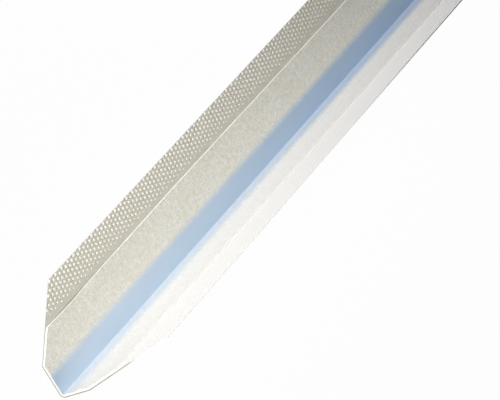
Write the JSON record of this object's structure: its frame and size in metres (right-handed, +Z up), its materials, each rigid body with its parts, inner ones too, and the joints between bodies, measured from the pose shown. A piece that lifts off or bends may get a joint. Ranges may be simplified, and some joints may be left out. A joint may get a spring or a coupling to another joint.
{
  "type": "drywall corner bead",
  "caption": "Straight right-angle stick that covers an outside wallboard corner: an embossed face tape bonded to a stiff angle band, with a blue film strip in the fold and clipped ends.",
  "frame": {"origin": "under the middle of the stick, at the centre of its box on the floor that the floor leg lies on", "axes": "+X along the stick, +Z up along the upright leg; the floor leg runs from the upright leg towards -Y"},
  "size_m": [2.44, 0.0412, 0.0413],
  "materials": {
    "face_tape": "matt cream tape, embossed with fine dimples",
    "angle_band": "matt cream felted paperboard",
    "corner_film": "smooth satin pale blue film"
  },
  "bodies": {
    "root": {"face_tape": "face_tape", "angle_band": "angle_band", "corner_film": "corner_film"}
  },
  "joints": []
}
